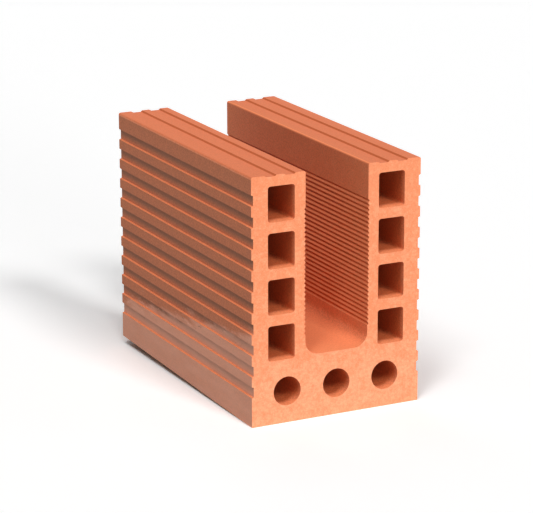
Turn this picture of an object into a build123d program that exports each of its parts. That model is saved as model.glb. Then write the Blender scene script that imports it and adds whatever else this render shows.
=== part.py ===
from build123d import *
import os

# Hollow clay channel brick, one extruded and wire-cut piece of fired clay.
# Its section lies in the XZ plane and runs straight along Y.
# The origin is the middle of the bed face, and Z points up out of the channel.
# All sizes are millimetres.

# Outside
width = 140.0
height = 190.0
length = 240.0

# Open channel between the two walls
wall_thickness = 44.0
base_thickness = 49.7
channel_corner_radius = 11.0
wall_top_radius = 1.5

# Rectangular cells, one column in each wall
cell_count = 4
cell_outer_web = 13.4
cell_inner_web = 8.8
cell_top_web = 8.4
cell_cross_web = 8.2
cell_bottom_web = 49.2
cell_corner_radius = 2.2

# Round holes in the base
hole_diameter = 22.4
hole_bottom_web = 13.3
hole_side_web = 17.8

# Grooves along the outer side faces
side_groove_count = 10
side_groove_mouth = 8.5
side_groove_floor = 7.5
side_groove_depth = 1.5
side_top_band = 13.3
side_bottom_band = 23.1

# Grooves along the top of each wall
top_groove_mouth = 9.4
top_groove_floor = 7.2
top_groove_depth = 1.1
top_outer_land = 10.9
top_inner_land = 8.0

# Keyed bands of the channel's walls, sharp valleys between round-topped ridges
key_pitch = 3.5
key_depth = 1.0
key_valley = 0.2
key_slope_run = 1.3
key_shoulder = 1.2
key_shoulder_drop = 0.2
key_top_band = 27.1
key_bottom_band = 15.8

# Places that follow from the sizes above
half_width = width / 2
channel_half_width = half_width - wall_thickness
channel_depth = height - base_thickness

cell_width = wall_thickness - cell_outer_web - cell_inner_web
cell_column_height = height - cell_top_web - cell_bottom_web
cell_height = (cell_column_height - (cell_count - 1) * cell_cross_web) / cell_count
cell_pitch = cell_height + cell_cross_web
cell_x = half_width - cell_outer_web - cell_width / 2
cell_column_z = cell_bottom_web + cell_column_height / 2

hole_x = half_width - hole_side_web - hole_diameter / 2
hole_z = hole_bottom_web + hole_diameter / 2

side_groove_run = height - side_top_band - side_bottom_band - side_groove_mouth
side_groove_pitch = side_groove_run / (side_groove_count - 1)
side_groove_middle_z = side_bottom_band + side_groove_mouth / 2 + side_groove_run / 2

top_groove_outer_x = half_width - top_outer_land - top_groove_mouth / 2
top_groove_inner_x = channel_half_width + top_inner_land + top_groove_mouth / 2

key_mouth = key_valley + 2 * key_slope_run
key_run = channel_depth - key_top_band - key_bottom_band - key_mouth
key_ridge_count = int(key_run / key_pitch)
key_band_floor = key_ridge_count * key_pitch + key_valley
key_band_mouth = key_band_floor + 2 * key_slope_run
key_middle_z = height - key_top_band - key_band_mouth / 2
key_ridge_base = key_pitch - key_valley


def groove_corners(mouth, floor, depth):
    """Corners of a groove sunk down from the origin, narrower at its floor."""
    return [
        (-mouth / 2, 0),
        (mouth / 2, 0),
        (floor / 2, -depth),
        (-floor / 2, -depth),
    ]


# One ridge of a keyed band, with its crest at the origin and its foot below
with BuildSketch() as key_ridge:
    with BuildLine():
        Polyline(
            (key_shoulder / 2, -key_shoulder_drop),
            (key_ridge_base / 2, -key_depth),
            (-key_ridge_base / 2, -key_depth),
            (-key_shoulder / 2, -key_shoulder_drop),
        )
        ThreePointArc(
            (-key_shoulder / 2, -key_shoulder_drop),
            (0, 0),
            (key_shoulder / 2, -key_shoulder_drop),
        )
    make_face()

with BuildPart() as channel_brick:
    with BuildSketch(Plane.XZ) as section:
        # Outline and channel, with the wall tops softened and the channel's floor rounded
        Rectangle(width, height, align=(Align.CENTER, Align.MIN))
        with Locations((0, base_thickness)):
            Rectangle(
                2 * channel_half_width,
                channel_depth,
                align=(Align.CENTER, Align.MIN),
                mode=Mode.SUBTRACT,
            )
        wall_top_corners = section.vertices().group_by(Axis.Y)[-1]
        fillet(wall_top_corners, radius=wall_top_radius)
        channel_corners = section.vertices().filter_by_position(Axis.Y, base_thickness, base_thickness)
        fillet(channel_corners, radius=channel_corner_radius)

        # Cells in the walls
        with Locations((0, cell_column_z)):
            with GridLocations(2 * cell_x, cell_pitch, 2, cell_count):
                RectangleRounded(cell_width, cell_height, cell_corner_radius, mode=Mode.SUBTRACT)

        # Round holes in the base
        with Locations((0, hole_z)):
            with GridLocations(hole_x, 0, 3, 1):
                Circle(hole_diameter / 2, mode=Mode.SUBTRACT)

        # Grooves of the side faces, each opening away from the clay
        for side, turn in ((1, -90), (-1, 90)):
            with Locations((side * half_width, side_groove_middle_z)):
                with GridLocations(0, side_groove_pitch, 1, side_groove_count):
                    Polygon(
                        *groove_corners(side_groove_mouth, side_groove_floor, side_groove_depth),
                        rotation=turn,
                        align=None,
                        mode=Mode.SUBTRACT,
                    )

        # Grooves of the top faces
        for groove_x in (top_groove_outer_x, top_groove_inner_x):
            with Locations((-groove_x, height), (groove_x, height)):
                Polygon(
                    *groove_corners(top_groove_mouth, top_groove_floor, top_groove_depth),
                    align=None,
                    mode=Mode.SUBTRACT,
                )

        # Keyed bands of the channel's walls: a shallow recess, then the ridges that stand in it
        for side, turn in ((1, 90), (-1, -90)):
            with Locations((side * channel_half_width, key_middle_z)):
                Polygon(
                    *groove_corners(key_band_mouth, key_band_floor, key_depth),
                    rotation=turn,
                    align=None,
                    mode=Mode.SUBTRACT,
                )
                with GridLocations(0, key_pitch, 1, key_ridge_count):
                    add(key_ridge.sketch, rotation=turn)
    extrude(amount=length / 2, both=True)

channel_brick.part.label = "channel_brick"

os.makedirs("parts", exist_ok=True)
export_step(channel_brick.part, "parts/channel_brick.step")
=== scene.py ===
import math

import bmesh
import bpy
from bpy.props import FloatProperty, FloatVectorProperty, IntProperty, PointerProperty
from mathutils import Matrix, Vector


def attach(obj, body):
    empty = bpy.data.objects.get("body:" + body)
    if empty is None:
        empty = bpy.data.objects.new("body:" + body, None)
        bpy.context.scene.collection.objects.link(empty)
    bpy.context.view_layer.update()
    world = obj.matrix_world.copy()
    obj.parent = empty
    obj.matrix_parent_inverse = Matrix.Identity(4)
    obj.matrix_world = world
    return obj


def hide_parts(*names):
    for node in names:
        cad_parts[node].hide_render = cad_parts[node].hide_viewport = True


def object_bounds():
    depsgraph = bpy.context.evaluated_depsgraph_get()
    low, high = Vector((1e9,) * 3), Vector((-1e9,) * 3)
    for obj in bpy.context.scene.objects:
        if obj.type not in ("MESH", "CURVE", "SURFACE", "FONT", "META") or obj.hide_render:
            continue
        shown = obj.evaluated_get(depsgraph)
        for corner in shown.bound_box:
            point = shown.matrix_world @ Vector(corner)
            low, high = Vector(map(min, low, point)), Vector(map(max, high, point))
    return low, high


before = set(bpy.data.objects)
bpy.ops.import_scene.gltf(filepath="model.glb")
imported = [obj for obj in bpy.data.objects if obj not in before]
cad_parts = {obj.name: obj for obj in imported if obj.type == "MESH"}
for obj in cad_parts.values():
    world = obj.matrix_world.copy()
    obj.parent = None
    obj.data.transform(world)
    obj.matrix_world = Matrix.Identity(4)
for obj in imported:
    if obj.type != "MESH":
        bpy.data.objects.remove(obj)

bl_info = {
    "name": "Hollow Clay Channel Brick",
    "version": (1, 0, 0),
    "blender": (4, 5, 0),
    "location": "View3D > Sidebar > Clay Brick",
    "description": "Finishes an extruded hollow brick as fired, unglazed clay",
    "category": "Object",
}

BRICK_NODE = "channel_brick"
ROOT_BODY = "root"
CAD_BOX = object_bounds()
MM = 0.001

# The brick's outside, read from the frame
LOW, HIGH = (Vector(corner) for corner in CAD_BOX)
HALF_WIDTH = (HIGH.x - LOW.x) / 2
HALF_LENGTH = (HIGH.y - LOW.y) / 2
HEIGHT = HIGH.z

# Cleaning of the frame's mesh, and the part of the bed that has warped
MERGE_WITHIN = 0.001 * MM
FLAT_WITHIN = math.radians(0.5)
SHARP_FROM = math.radians(30)
WALL_CLEARANCE = 0.01 * MM
WARPED_FROM = 0.9
BED_SKIN = 2.0 * MM

# Each pair below says where a mask starts and where it is full

# Distances from the brick's middle, in millimetres
IN_CHANNEL = (28.0, 27.0)
IN_HOLLOWS = (63.0, 62.0)
SHORT_OF_SIDES = (68.0, 67.0)
AT_GROOVE_FLOORS = (69.1, 68.6)
SHORT_OF_OUTER_EDGES = (66.0, 65.0)
NEAR_INNER_EDGES = (31.0, 30.0)
AT_CHANNEL_WALLS = (24.0, 25.9)
IN_KEY_VALLEYS = (26.1, 26.6)

# Heights over the bed, in millimetres
FROM_CHANNEL_FLOOR = (48.0, 49.0)
BELOW_THE_HOLES = (7.0, 8.0)
ABOVE_THE_CELLS = (186.0, 185.0)
OVER_SIDE_FOOT = (1.0, 1.6)
UNDER_SIDE_HEAD = (188.2, 187.6)
AT_WALL_TOPS = (187.0, 188.0)
# Painted bounce light at the foot of the cut ends, and painted shade at their head
BOUNCE_LIT_FOOT = (70.0, 25.0)
SHADED_HEAD = (120.0, 190.0)
# Painted shade on the bed below this height
UNDER_BED_EDGE = (5.0, 4.0)

# Depths behind the nearer cut end and from the left side, in millimetres
# How far painted light reaches into the hollows from their mouths
LIT_MOUTH = (11.0, 3.0)
# Painted light near the rims of the hollows
LIT_RIM = (7.0, 1.0)
LEFT_SKIN = (3.0, 2.2)

# How squarely a face looks at a cut end, up or down, or sideways, from -1 to 1
CUT_FACE = (0.75, 0.95)
TOP_FACE = (0.2, 0.4)
# Groove flanks on the wall tops, which take painted shade
TOP_FLANK = (0.3, 0.8)
# Faces that look up, which take painted light
LIT_HOLLOW_FLOOR = (0.3, 0.85)
HOLLOW_LEDGE = (0.5, 0.95)
CHANNEL_LEDGE = (0.4, 0.9)
KEY_LEDGE = (0.2, 0.55)
GROOVE_LEDGE = (0.2, 0.6)
BLOOM_FREE_LEDGE = (0.25, 0.6)
# Plain channel walls, undersides and the bed, which take painted shade
PLAIN_WALL = (0.9, 0.99)
KEY_UNDERSIDE = (-0.1, -0.5)
GROOVE_UNDERSIDE = (-0.2, -0.6)
BED_FACE = (-0.8, -0.95)

# Heights inside a side groove, as a share of its mouth
# Painted shade high in a side groove, and painted bounce light at its foot
GROOVE_TOP = (0.15, 0.8)
GROOVE_FOOT = (0.38, 0.06)

# Heights over the bloom's ragged edge, in millimetres
UNDER_BLOOM_EDGE = (5.0, -7.0)
STREAK_TOP = (11.0, 0.0)
STREAK_FOOT = (-16.0, -6.0)
SCUFF_TOP = (8.0, 2.0)
SCUFF_FOOT = (-14.0, -6.0)

# How many cells of noise lie in a metre, along each axis
BRUSHED_CELLS = (60.0, 28.0, 140.0)
WISP_CELLS = (90.0, 75.0, 330.0)
SCUFF_CELLS = (50.0, 95.0, 260.0)
DRAWN_CELLS = (900.0, 25.0, 900.0)
CLOUD_CELLS = 130.0

# How far the grit shifts the valleys, and the noises the bloom's edge
VALLEY_WAVER = 0.5 * MM
BRUSHED_WAVER = 26.0 * MM
WISP_WAVER = 14.0 * MM

# The camera that took the photograph, in metres and degrees, and its sensor in millimetres
CAMERA_PLACE = (-0.8159, -1.6432, 0.6145)
CAMERA_TURN = -26.46
CAMERA_TILT = 15.9
CAMERA_ROLL = -0.16
SENSOR_WIDTH = 36.0

# Each lamp's compass turn from the front, height and softness, in degrees
LAMPS = {
    "front": (7, 38, 12),
    "low_front": (-4, 8, 14),
    "right": (65, 14, 24),
    "high_front": (-16, 48, 10),
    "high_left": (-46, 53, 12),
    "top": (-52, 68, 14),
    "back": (170, 50, 30),
}

# The floor's half size in metres, and plain colours of the studio
FLOOR_REACH = 6.0
FLOOR_PAINT = (0.85, 0.85, 0.85, 1.0)
WHITE = (1.0, 1.0, 1.0, 1.0)


def colour_setting(name, description, default):
    """A colour that a user may change."""
    return FloatVectorProperty(
        name=name,
        description=description,
        default=default,
        subtype="COLOR",
        min=0.0,
        max=1.0,
    )


def length_setting(name, description, millimetres, least=0.0):
    """A length that a user may change, given in millimetres."""
    return FloatProperty(
        name=name,
        description=description,
        default=millimetres * MM,
        min=least * MM,
        subtype="DISTANCE",
        unit="LENGTH",
    )


def angle_setting(name, description, degrees):
    """An angle that a user may change, given in degrees."""
    return FloatProperty(
        name=name,
        description=description,
        default=math.radians(degrees),
        subtype="ANGLE",
        unit="ROTATION",
    )


def strength_setting(name, description, default):
    """A strength or a brightness that a user may change."""
    return FloatProperty(name=name, description=description, default=default, min=0.0)


class BrickSettings(bpy.types.PropertyGroup):
    """Sizes of the softened edges and of the warp in the bed."""

    edge_softness: length_setting(
        "Edge softness",
        "Width of the rounding along the grooves and round the cut ends",
        0.35,
    )
    edge_steps: IntProperty(
        name="Edge steps",
        description="Facets across each rounded edge",
        default=2,
        min=1,
    )
    bed_lift: length_setting(
        "Bed lift",
        "How far the fired bed has warped up at its back left corner",
        3.2,
    )
    smooth_below: angle_setting(
        "Smooth below",
        "Edges that turn by less than this are shaded smooth",
        32.0,
    )
    keyed_depth: length_setting(
        "Keyed band",
        "How far from the channel's wall the ridges reach, whose edges stay sharp",
        1.6,
    )
    channel_half_width: length_setting(
        "Channel half width",
        "From the middle of the brick to the channel's wall",
        26.0,
    )


class ClaySettings(bpy.types.PropertyGroup):
    """Colours of the fired clay and of its painted light and shade, and the sizes of its grain, its
    grooves and its bloom.
    """

    clay: colour_setting(
        "Clay",
        "The fired clay where the wire cut it",
        (0.80, 0.245, 0.105),
    )
    # Pale grains and clouds, and the painted bounce light at the foot of the cut ends
    pale_clay_and_bounce: colour_setting(
        "Pale clay",
        "The foot of the cut ends, and the pale grains and clouds",
        (0.92, 0.385, 0.205),
    )
    # Darker outer sides: partly the drawn skin, partly painted shade
    skin: colour_setting(
        "Drawn skin",
        "The outer sides, which slid through the die",
        (0.48, 0.146, 0.061),
    )
    wall_top: colour_setting(
        "Wall tops",
        "The drawn top faces of the two walls",
        (0.79, 0.205, 0.082),
    )
    # Painted light on faces that look up
    painted_light: colour_setting(
        "Ledges",
        "Groove flanks that look up, the hollows' floors at their mouths and the channel's floor",
        (1.0, 0.300, 0.122),
    )
    # Painted shade in the hollows, the keyed valleys and undersides, and on groove flanks
    painted_shade: colour_setting(
        "Recesses",
        "Walls of the cells and holes, valleys of the keyed bands and dark flanks of the grooves",
        (0.54, 0.115, 0.028),
    )
    # Painted shade high in the side grooves and on the bed, and the dark of the real scuffs
    shade_and_scuff: colour_setting(
        "Groove shade",
        "The dull clay high in each side groove, on the bed and in the scuffs",
        (0.25, 0.096, 0.046),
    )
    # Painted warm bounce light low in each side groove
    groove_foot_bounce: colour_setting(
        "Groove foot",
        "The redder clay low in each side groove",
        (0.72, 0.175, 0.066),
    )
    bloom: colour_setting(
        "Salt bloom",
        "The pale veil low on the left side",
        (0.92, 0.50, 0.36),
    )
    bloom_height: length_setting(
        "Bloom height",
        "How high the pale veil climbs at the end face",
        72.0,
    )
    bloom_fall: length_setting(
        "Bloom fall",
        "How much lower the veil's edge lies at the far end",
        38.0,
    )
    grain: length_setting(
        "Grain",
        "Size of the clay's fine grain",
        1.1,
        least=0.01,
    )
    groove_pitch: length_setting(
        "Side groove pitch",
        "From one side groove to the next",
        16.122,
        least=0.1,
    )
    groove_width: length_setting(
        "Side groove width",
        "Height of each side groove's mouth",
        8.5,
        least=0.1,
    )
    first_groove: length_setting(
        "First side groove",
        "From the bed face to the lowest side groove",
        23.1,
    )


class StudioSettings(bpy.types.PropertyGroup):
    """The camera's lens, the strengths of the lamps and the floor."""

    focal_length: FloatProperty(
        name="Focal length",
        description="Lens that gives the photograph's angle of view, in millimetres",
        default=165.1,
        min=1.0,
    )
    front_light: strength_setting("Front light", "The main lamp before the cut end", 1.25)
    low_front_light: strength_setting("Low front light", "The lamp low before the cut end", 1.0)
    right_light: strength_setting("Right light", "The faint lamp low on the right", 0.1)
    high_front_light: strength_setting("High front light", "The lamp high before the cut end", 0.5)
    high_left_light: strength_setting("High left light", "The lamp high at the front left", 0.5)
    top_light: strength_setting("Top light", "The steepest lamp, over the front left", 0.54)
    back_light: strength_setting("Back light", "The faint lamp behind the brick", 0.2)
    sky: strength_setting("Sky", "The even light from all round", 0.08)
    floor_white: strength_setting("Floor white", "How white the camera sees the floor's paint", 1.22)
    floor_fall: angle_setting(
        "Floor fall",
        "How far the floor drops away behind the cut end",
        0.9,
    )


class Socket:
    """One output of a shader tree, on which sums are written as plain expressions."""

    def __init__(self, tree, output):
        self.tree = tree
        self.output = output

    def __add__(self, other):
        return self.tree.maths("ADD", self, other)

    def __radd__(self, other):
        return self.tree.maths("ADD", other, self)

    def __sub__(self, other):
        return self.tree.maths("SUBTRACT", self, other)

    def __rsub__(self, other):
        return self.tree.maths("SUBTRACT", other, self)

    def __mul__(self, other):
        return self.tree.maths("MULTIPLY", self, other)

    def __rmul__(self, other):
        return self.tree.maths("MULTIPLY", other, self)

    def __truediv__(self, other):
        return self.tree.maths("DIVIDE", self, other)

    def __rtruediv__(self, other):
        return self.tree.maths("DIVIDE", other, self)


class ShaderTree:
    """The nodes of a material or a world, added one call at a time."""

    def __init__(self, owner):
        owner.use_nodes = True
        self.nodes = owner.node_tree.nodes
        self.links = owner.node_tree.links
        self.nodes.clear()

    def add(self, kind, settings=None, inputs=None, output=0):
        """Adds a node, sets it up, feeds its inputs and returns one of its outputs."""
        node = self.nodes.new(kind)
        for name, value in (settings or {}).items():
            setattr(node, name, value)
        for key, value in (inputs or {}).items():
            if isinstance(value, Socket):
                self.links.new(value.output, node.inputs[key])
            else:
                node.inputs[key].default_value = value
        return Socket(self, node.outputs[output]) if node.outputs else None

    def maths(self, operation, first, second=0.0):
        """One step of arithmetic."""
        return self.add("ShaderNodeMath", {"operation": operation}, {0: first, 1: second})

    def size_of(self, value):
        """A number without its sign."""
        return self.maths("ABSOLUTE", value)

    def mix(self, mask, first, second):
        """Blends two colours by a mask."""
        return self.add(
            "ShaderNodeMix",
            {"data_type": "RGBA"},
            {"Factor": mask, 6: first, 7: second},
            output=2,
        )

    def rise(self, value, ends, unit=1.0):
        """Climbs smoothly from 0 at the first end to 1 at the second."""
        start, end = ends
        return self.add(
            "ShaderNodeMapRange",
            {"interpolation_type": "SMOOTHSTEP"},
            {
                "Value": value,
                "From Min": start * unit,
                "From Max": end * unit,
                "To Min": 0.0,
                "To Max": 1.0,
            },
        )

    def noise(self, place, scale=1.0, detail=2.0, roughness=0.5):
        """Cloudy noise between 0 and 1, with its cell size as one over the scale."""
        return self.add(
            "ShaderNodeTexNoise",
            inputs={"Vector": place, "Scale": scale, "Detail": detail, "Roughness": roughness},
        )

    def part(self, vector, axis):
        """One of a vector's three numbers."""
        return self.add("ShaderNodeSeparateXYZ", inputs={0: vector}, output=axis)

    def stretch(self, place, factors):
        """Scales a place by a factor along each axis."""
        return self.add("ShaderNodeVectorMath", {"operation": "MULTIPLY"}, {0: place, 1: factors})

    def scale(self, colour, factor):
        """Brightens or darkens a colour by a factor, and keeps it within full white."""
        scaled = self.add(
            "ShaderNodeVectorMath",
            {"operation": "SCALE"},
            {0: colour, "Scale": factor},
        )
        return self.add("ShaderNodeVectorMath", {"operation": "MINIMUM"}, {0: scaled, 1: WHITE[:3]})

    def seen_directly(self):
        """Rays that come from the camera, straight or by way of a shiny or clear surface."""
        camera = self.add("ShaderNodeLightPath", output="Is Camera Ray")
        glossy = self.add("ShaderNodeLightPath", output="Is Glossy Ray")
        through = self.add("ShaderNodeLightPath", output="Is Transmission Ray")
        return self.maths("MAXIMUM", self.maths("MAXIMUM", camera, glossy), through)


def rgba(colour):
    """A colour with the fourth number that a socket wants."""
    return (*colour[:3], 1.0)


class ClayPlace:
    """Where a point lies on the brick, as distances and as masks between 0 and 1."""

    def __init__(self, tree, settings):
        self.tree = tree
        self.place = tree.add("ShaderNodeTexCoord", output="Object")
        facing = tree.add("ShaderNodeTexCoord", output="Normal")
        x, self.y, self.z = (tree.part(self.place, axis) for axis in range(3))
        self.across = tree.size_of(x)
        self.depth = HALF_LENGTH - tree.size_of(self.y)
        self.up = tree.part(facing, 2)
        self.sideways = tree.size_of(tree.part(facing, 0))
        self.left_side = tree.rise(x + HALF_WIDTH, LEFT_SKIN, MM)
        self.cut = tree.rise(tree.size_of(tree.part(facing, 1)), CUT_FACE)
        self.drawn = 1.0 - self.cut
        self.channel = self.within(IN_CHANNEL) * self.at_height(FROM_CHANNEL_FLOOR) * self.drawn
        self.keyed = self.channel * self.within(AT_CHANNEL_WALLS)
        self.hollow = self.inside_hollows()
        self.side = self.on_outer_side()
        self.tops = self.looking_up(TOP_FACE) * self.at_height(AT_WALL_TOPS) * self.drawn
        self.groove_floor = self.side * self.within(AT_GROOVE_FLOORS)
        self.groove_rise = self.height_in_groove(settings)
        self.lit = self.from_end(LIT_MOUTH)

    def within(self, ends):
        """Points by their distance from the brick's middle."""
        return self.tree.rise(self.across, ends, MM)

    def at_height(self, ends):
        """Points by their height over the bed."""
        return self.tree.rise(self.z, ends, MM)

    def from_end(self, ends):
        """Points by their depth behind the nearer cut end."""
        return self.tree.rise(self.depth, ends, MM)

    def looking_up(self, ends):
        """Faces by how far they look up, or down where the ends are negative."""
        return self.tree.rise(self.up, ends)

    def inside_hollows(self):
        """The walls of the cells and the round holes."""
        shut_in = self.at_height(BELOW_THE_HOLES) * self.at_height(ABOVE_THE_CELLS)
        return shut_in * self.within(IN_HOLLOWS) * (1.0 - self.channel) * self.drawn

    def on_outer_side(self):
        """The two long outer sides with their grooves."""
        between = self.at_height(OVER_SIDE_FOOT) * self.at_height(UNDER_SIDE_HEAD)
        return between * (1.0 - self.within(SHORT_OF_SIDES)) * self.drawn

    def height_in_groove(self, settings):
        """Climbs from 0 at the foot of each side groove to 1 at its top."""
        steps = (self.z - settings.first_groove) / settings.groove_pitch
        return self.tree.maths("FRACT", steps) * (settings.groove_pitch / settings.groove_width)


class ClayGrain:
    """Fine grain, clouds and mottling of the clay, about 0 to 1, and its grit, -0.5 to 0.5."""

    def __init__(self, tree, place, size):
        patches = tree.noise(place, scale=0.36 / size, detail=4.0, roughness=0.7)
        specks = tree.noise(place, scale=0.8 / size, detail=2.0, roughness=0.7)
        self.fine = tree.noise(place, scale=1 / size, detail=3.0, roughness=0.6)
        self.cloud = tree.noise(place, scale=CLOUD_CELLS, detail=3.0, roughness=0.6)
        blotches = tree.rise(patches, (0.36, 0.64)) * 0.6
        pale_grains = tree.rise(self.fine, (0.50, 0.70)) * 0.65
        self.mottle = blotches + pale_grains
        self.grit = tree.rise(specks, (0.34, 0.66)) - 0.5


def cut_clay(tree, spot, grain, settings):
    """Mottled clay; on the cut ends painted bounce light makes the foot paler and painted shade
    makes the head darker.
    """
    mottling = grain.mottle * (spot.cut * 0.72 + 0.12)
    # Painted bounce light at the foot of the cut ends, painted shade at their head
    foot = spot.at_height(BOUNCE_LIT_FOOT) * spot.cut * 0.34
    head = spot.at_height(SHADED_HEAD) * spot.cut * 0.10
    clouds = (grain.cloud - 0.5) * 0.9
    pale = mottling + foot - head + clouds - spot.cut * 0.16
    return tree.mix(pale, rgba(settings.clay), rgba(settings.pale_clay_and_bounce))


def drawn_skin(tree, spot, grain, settings, colour):
    """The brown skin of the outer sides, darker partly as painted shade, a little dusty, and the
    drawn tops of the walls.
    """
    dusty = (grain.cloud - 0.5) * 0.5 + grain.mottle * 0.10
    # The outer sides' dark brown is partly painted shade
    colour = tree.mix(spot.side * (0.97 - dusty), colour, rgba(settings.skin))
    return tree.mix(spot.tops * (1.0 - grain.mottle * 0.12), colour, rgba(settings.wall_top))


def hollow_wall_shade(tree, spot, settings, colour):
    """Painted shade on the walls of the cells and holes, less of it near the rim, and on the
    channel's plain bands.
    """
    # Painted shade in the cells and holes, but not on their floors near the mouth, and less near the
    # rim
    walls = spot.hollow * (1.0 - spot.looking_up(LIT_HOLLOW_FLOOR) * spot.lit)
    rim = spot.from_end(LIT_RIM) * 0.6
    plain_wall_shade = spot.channel * tree.rise(spot.sideways, PLAIN_WALL) * 0.22
    return tree.mix(walls * (0.88 - rim) + plain_wall_shade, colour, rgba(settings.painted_shade))


def recess_shade(tree, spot, grain, settings, colour):
    """Painted shade in the valleys and on the undersides of the keyed bands, and on the flanks of
    the other grooves.
    """
    # Painted shade in the keyed valleys, under the keys and side grooves, and on the top groove
    # flanks
    wavering = spot.across + grain.grit * VALLEY_WAVER
    valleys = spot.keyed * tree.rise(wavering, IN_KEY_VALLEYS, MM) * 0.8
    under_key_shade = spot.keyed * spot.looking_up(KEY_UNDERSIDE) * 0.45
    under_groove_shade = spot.side * spot.looking_up(GROOVE_UNDERSIDE)
    between_edges = spot.within(SHORT_OF_OUTER_EDGES) * (1.0 - spot.within(NEAR_INNER_EDGES))
    top_flank_shade = spot.tops * tree.rise(spot.sideways, TOP_FLANK) * between_edges
    dark = tree.maths("MINIMUM", under_key_shade + under_groove_shade + valleys + top_flank_shade, 0.95)
    return tree.mix(dark, colour, rgba(settings.painted_shade))


def shaded_grooves(tree, spot, settings, colour):
    """Painted shade high in each side groove, painted bounce light at its foot, and painted shade on
    the bed.
    """
    # Painted shade high in each side groove
    groove_top_shade = spot.groove_floor * tree.rise(spot.groove_rise, GROOVE_TOP)
    colour = tree.mix(groove_top_shade * 0.9, colour, rgba(settings.shade_and_scuff))
    # Painted bounce light at the foot of each side groove
    groove_foot_bounce = spot.groove_floor * tree.rise(spot.groove_rise, GROOVE_FOOT)
    colour = tree.mix(groove_foot_bounce * 0.5, colour, rgba(settings.groove_foot_bounce))
    # Painted shade on the bed, which darkens the gap under its lifted corner
    bed = spot.looking_up(BED_FACE) * spot.at_height(UNDER_BED_EDGE)
    return tree.mix(bed * 0.9, colour, rgba(settings.shade_and_scuff))


def clay_colour(tree, spot, grain, settings):
    """Cut clay, drawn skin, painted shade in the recesses and painted light on the ledges, without
    the bloom.
    """
    colour = cut_clay(tree, spot, grain, settings)
    colour = drawn_skin(tree, spot, grain, settings, colour)
    colour = hollow_wall_shade(tree, spot, settings, colour)
    colour = recess_shade(tree, spot, grain, settings, colour)
    colour = shaded_grooves(tree, spot, settings, colour)
    # Painted light on faces that look up: groove ledges, hollow floors near the mouth, the channel's
    # floor and key ledges
    groove_ledge_light = spot.side * spot.looking_up(GROOVE_LEDGE)
    hollow_floor_light = spot.hollow * spot.looking_up(HOLLOW_LEDGE) * spot.lit
    channel_floor_light = spot.channel * spot.looking_up(CHANNEL_LEDGE) * 0.9
    key_ledge_light = spot.keyed * spot.looking_up(KEY_LEDGE) * 0.15
    ledges = groove_ledge_light + hollow_floor_light + channel_floor_light + key_ledge_light
    colour = tree.mix(ledges, colour, rgba(settings.painted_light))
    grit_strength = 0.26 - (spot.tops + spot.cut + channel_floor_light) * 0.15
    return tree.scale(colour, 1.0 + grain.grit * grit_strength)


def bloom_masks(tree, spot, settings):
    """Pale salt veil low on the left side, and the dark scuffs along its ragged upper edge."""
    brushed = tree.noise(tree.stretch(spot.place, BRUSHED_CELLS), detail=4.0, roughness=0.6)
    wisps = tree.noise(tree.stretch(spot.place, WISP_CELLS), detail=5.0, roughness=0.7)
    marks = tree.noise(tree.stretch(spot.place, SCUFF_CELLS), scale=1.3, detail=4.0, roughness=0.7)
    far = (spot.y + HALF_LENGTH) / (2 * HALF_LENGTH)
    ragged = (brushed - 0.5) * BRUSHED_WAVER + (wisps - 0.5) * WISP_WAVER
    above = spot.z - (settings.bloom_height - far * settings.bloom_fall + ragged)
    flat = spot.left_side * (1.0 - spot.looking_up(BLOOM_FREE_LEDGE)) * spot.drawn
    dust = tree.rise(above, UNDER_BLOOM_EDGE, MM) * (0.31 + brushed * 0.30)
    near_edge = tree.rise(above, STREAK_TOP, MM) * tree.rise(above, STREAK_FOOT, MM)
    streaks = near_edge * tree.rise(wisps, (0.56, 0.70)) * 0.3
    veil = (dust + streaks) * flat
    at_edge = tree.rise(above, SCUFF_FOOT, MM) * tree.rise(above, SCUFF_TOP, MM)
    return veil, flat * at_edge * tree.rise(marks, (0.60, 0.70)) * 0.6


def clay_bump(tree, spot, grain):
    """Grain on the cut ends, and fine lines with less grain along the drawn faces."""
    drawn_lines = tree.noise(tree.stretch(spot.place, DRAWN_CELLS), detail=2.0, roughness=0.5)
    height = grain.fine * (0.35 + spot.cut * 0.65) + drawn_lines * (0.35 - spot.cut * 0.35)
    return tree.add(
        "ShaderNodeBump",
        inputs={"Strength": 0.35, "Distance": 0.12 * MM, "Height": height},
    )


def clay_material(settings):
    """Unglazed fired clay: grainy cut ends, drawn sides, painted shade in the recesses, painted
    light on the ledges and a pale bloom.
    """
    material = bpy.data.materials.new("fired_clay")
    tree = ShaderTree(material)
    spot = ClayPlace(tree, settings)
    grain = ClayGrain(tree, spot.place, settings.grain)
    veil, scuffs = bloom_masks(tree, spot, settings)
    colour = clay_colour(tree, spot, grain, settings)
    colour = tree.mix(veil, colour, rgba(settings.bloom))
    colour = tree.mix(scuffs, colour, rgba(settings.shade_and_scuff))
    shader = tree.add(
        "ShaderNodeBsdfPrincipled",
        inputs={
            "Base Color": colour,
            "Roughness": 0.66 + grain.cloud * 0.16,
            "IOR": 1.45,
            "Normal": clay_bump(tree, spot, grain),
        },
    )
    tree.add("ShaderNodeOutputMaterial", inputs={"Surface": shader})
    return material


def softened_edges(shape, settings):
    """The edges to round: cut rims and groove corners, but not those along the keyed bands."""
    chosen = []
    for edge in shape.edges:
        if len(edge.link_faces) != 2:
            continue
        if edge.calc_face_angle(0.0) < SHARP_FROM:
            continue
        sunk = [abs(corner.co.x) - settings.channel_half_width for corner in edge.verts]
        if all(-WALL_CLEARANCE < depth < settings.keyed_depth for depth in sunk):
            continue
        chosen.append(edge)
    return chosen


def lift_bed_corner(shape, lift):
    """Warps the bed's back left corner up a little, so that the brick stands on the other three."""
    left = -WARPED_FROM * HALF_WIDTH
    corner = [v for v in shape.verts if v.co.x < left and v.co.y > 0 and v.co.z < BED_SKIN]
    bmesh.ops.translate(shape, verts=corner, vec=(0, 0, lift))


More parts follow.
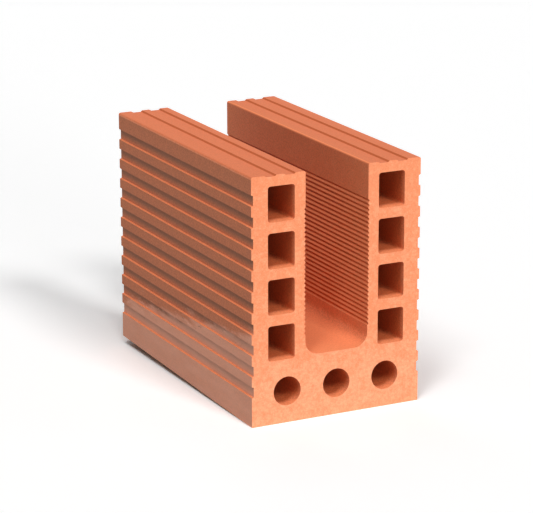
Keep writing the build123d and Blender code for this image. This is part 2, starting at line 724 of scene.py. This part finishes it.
def brick_mesh(settings):
    """The frame's own brick, merged into long clean faces, with soft edges."""
    shape = bmesh.new()
    shape.from_mesh(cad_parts[BRICK_NODE].data)
    bmesh.ops.remove_doubles(shape, verts=shape.verts, dist=MERGE_WITHIN)
    bmesh.ops.dissolve_limit(shape, angle_limit=FLAT_WITHIN, verts=shape.verts, edges=shape.edges)
    bmesh.ops.bevel(
        shape,
        geom=softened_edges(shape, settings),
        offset=settings.edge_softness,
        offset_type="OFFSET",
        segments=settings.edge_steps,
        profile=0.5,
        affect="EDGES",
        clamp_overlap=True,
        material=-1,
    )
    lift_bed_corner(shape, settings.bed_lift)
    for face in shape.faces:
        face.smooth = True
    for edge in shape.edges:
        edge.smooth = edge.calc_face_angle(0.0) < settings.smooth_below
    mesh = bpy.data.meshes.new("clay_brick")
    shape.to_mesh(mesh)
    shape.free()
    return mesh


class CLAYBRICK_OT_channel_brick(bpy.types.Operator):
    """Finishes the channel brick as fired clay, in the frame's own place"""

    bl_idname = "claybrick.channel_brick"
    bl_label = "Channel Brick"

    def execute(self, context):
        scene = context.scene
        mesh = brick_mesh(scene.brick_settings)
        mesh.materials.append(clay_material(scene.clay_settings))
        piece = bpy.data.objects.new("clay_brick", mesh)
        scene.collection.objects.link(piece)
        piece.modifiers.new("flat_faces", "WEIGHTED_NORMAL").keep_sharp = True
        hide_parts(BRICK_NODE)
        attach(piece, ROOT_BODY)
        return {"FINISHED"}


def soft_lamp(scene, name, turn, height, softness, strength):
    """Even light from one side: its compass turn, height and softness are in degrees."""
    turn, height = math.radians(turn), math.radians(height)
    reach = math.cos(height)
    way = Vector((math.sin(turn) * reach, -math.cos(turn) * reach, math.sin(height)))
    lamp = bpy.data.lights.new(name, "SUN")
    lamp.angle = math.radians(softness)
    lamp.energy = strength
    stand = bpy.data.objects.new(name, lamp)
    stand.location = Vector((0, 0, HEIGHT / 2)) + way
    stand.rotation_euler = way.to_track_quat("Z", "Y").to_euler()
    scene.collection.objects.link(stand)


def floor_material(settings):
    """White floor that shows only the brick's shadow."""
    material = bpy.data.materials.new("studio_floor")
    tree = ShaderTree(material)
    lifted = rgba([settings.floor_white] * 3)
    paint = tree.add("ShaderNodeBsdfDiffuse", inputs={"Color": FLOOR_PAINT})
    bright = tree.add("ShaderNodeBsdfDiffuse", inputs={"Color": lifted})
    surface = tree.add("ShaderNodeMixShader", inputs={0: tree.seen_directly(), 1: paint, 2: bright})
    tree.add("ShaderNodeOutputMaterial", inputs={"Surface": surface})
    return material


def studio_world(settings):
    """Dim even light, with a white background behind the floor."""
    world = bpy.data.worlds.new("studio")
    tree = ShaderTree(world)
    dim = tree.add("ShaderNodeBackground", inputs={"Color": WHITE, "Strength": settings.sky})
    white = tree.add("ShaderNodeBackground", inputs={"Color": WHITE, "Strength": 1.0})
    surface = tree.add("ShaderNodeMixShader", inputs={0: tree.seen_directly(), 1: dim, 2: white})
    tree.add("ShaderNodeOutputWorld", inputs={"Surface": surface})
    return world


class CLAYBRICK_OT_studio(bpy.types.Operator):
    """Sets the white floor, the soft lamps and the camera"""

    bl_idname = "claybrick.studio"
    bl_label = "Studio"

    def execute(self, context):
        scene = context.scene
        settings = scene.studio_settings
        self.lay_floor(scene, settings)
        for name, aim in LAMPS.items():
            soft_lamp(scene, f"{name}_lamp", *aim, getattr(settings, f"{name}_light"))
        self.aim_camera(scene, settings)
        scene.world = studio_world(settings)
        scene.view_settings.view_transform = "Standard"
        return {"FINISHED"}

    def lay_floor(self, scene, settings):
        """A wide floor that falls away a little behind the cut end."""
        shape = bmesh.new()
        bmesh.ops.create_grid(shape, x_segments=1, y_segments=1, size=FLOOR_REACH)
        fall = Matrix.Rotation(-settings.floor_fall, 3, "X")
        bmesh.ops.rotate(shape, verts=shape.verts, cent=(0, -HALF_LENGTH, 0), matrix=fall)
        mesh = bpy.data.meshes.new("studio_floor")
        shape.to_mesh(mesh)
        shape.free()
        mesh.materials.append(floor_material(settings))
        floor = bpy.data.objects.new("studio_floor", mesh)
        scene.collection.objects.link(floor)

    def aim_camera(self, scene, settings):
        """The photograph's own camera, turned, tilted down and rolled."""
        lens = bpy.data.cameras.new("camera")
        lens.sensor_width = SENSOR_WIDTH
        lens.lens = settings.focal_length
        camera = bpy.data.objects.new("camera", lens)
        scene.collection.objects.link(camera)
        turn = Matrix.Rotation(math.radians(CAMERA_TURN), 3, "Z")
        tilt = Matrix.Rotation(math.radians(90.0 - CAMERA_TILT), 3, "X")
        roll = Matrix.Rotation(math.radians(CAMERA_ROLL), 3, "Z")
        camera.location = CAMERA_PLACE
        camera.rotation_euler = (turn @ tilt @ roll).to_euler()
        scene.camera = camera


class CLAYBRICK_PT_tools(bpy.types.Panel):
    """Lists the brick's own tools in the sidebar"""

    bl_idname = "CLAYBRICK_PT_tools"
    bl_label = "Clay Brick"
    bl_space_type = "VIEW_3D"
    bl_region_type = "UI"
    bl_category = "Clay Brick"

    def draw(self, context):
        for operator in OPERATORS:
            self.layout.operator(operator.bl_idname)


SETTINGS = {
    "brick_settings": BrickSettings,
    "clay_settings": ClaySettings,
    "studio_settings": StudioSettings,
}
OPERATORS = (CLAYBRICK_OT_channel_brick, CLAYBRICK_OT_studio)
CLASSES = (*SETTINGS.values(), *OPERATORS, CLAYBRICK_PT_tools)


def register():
    for cls in CLASSES:
        bpy.utils.register_class(cls)
    for name, group in SETTINGS.items():
        setattr(bpy.types.Scene, name, PointerProperty(type=group))


def unregister():
    for name in SETTINGS:
        delattr(bpy.types.Scene, name)
    for cls in reversed(CLASSES):
        bpy.utils.unregister_class(cls)


def main():
    register()
    bpy.ops.claybrick.channel_brick()
    bpy.ops.claybrick.studio()


if __name__ == "__main__":
    main()
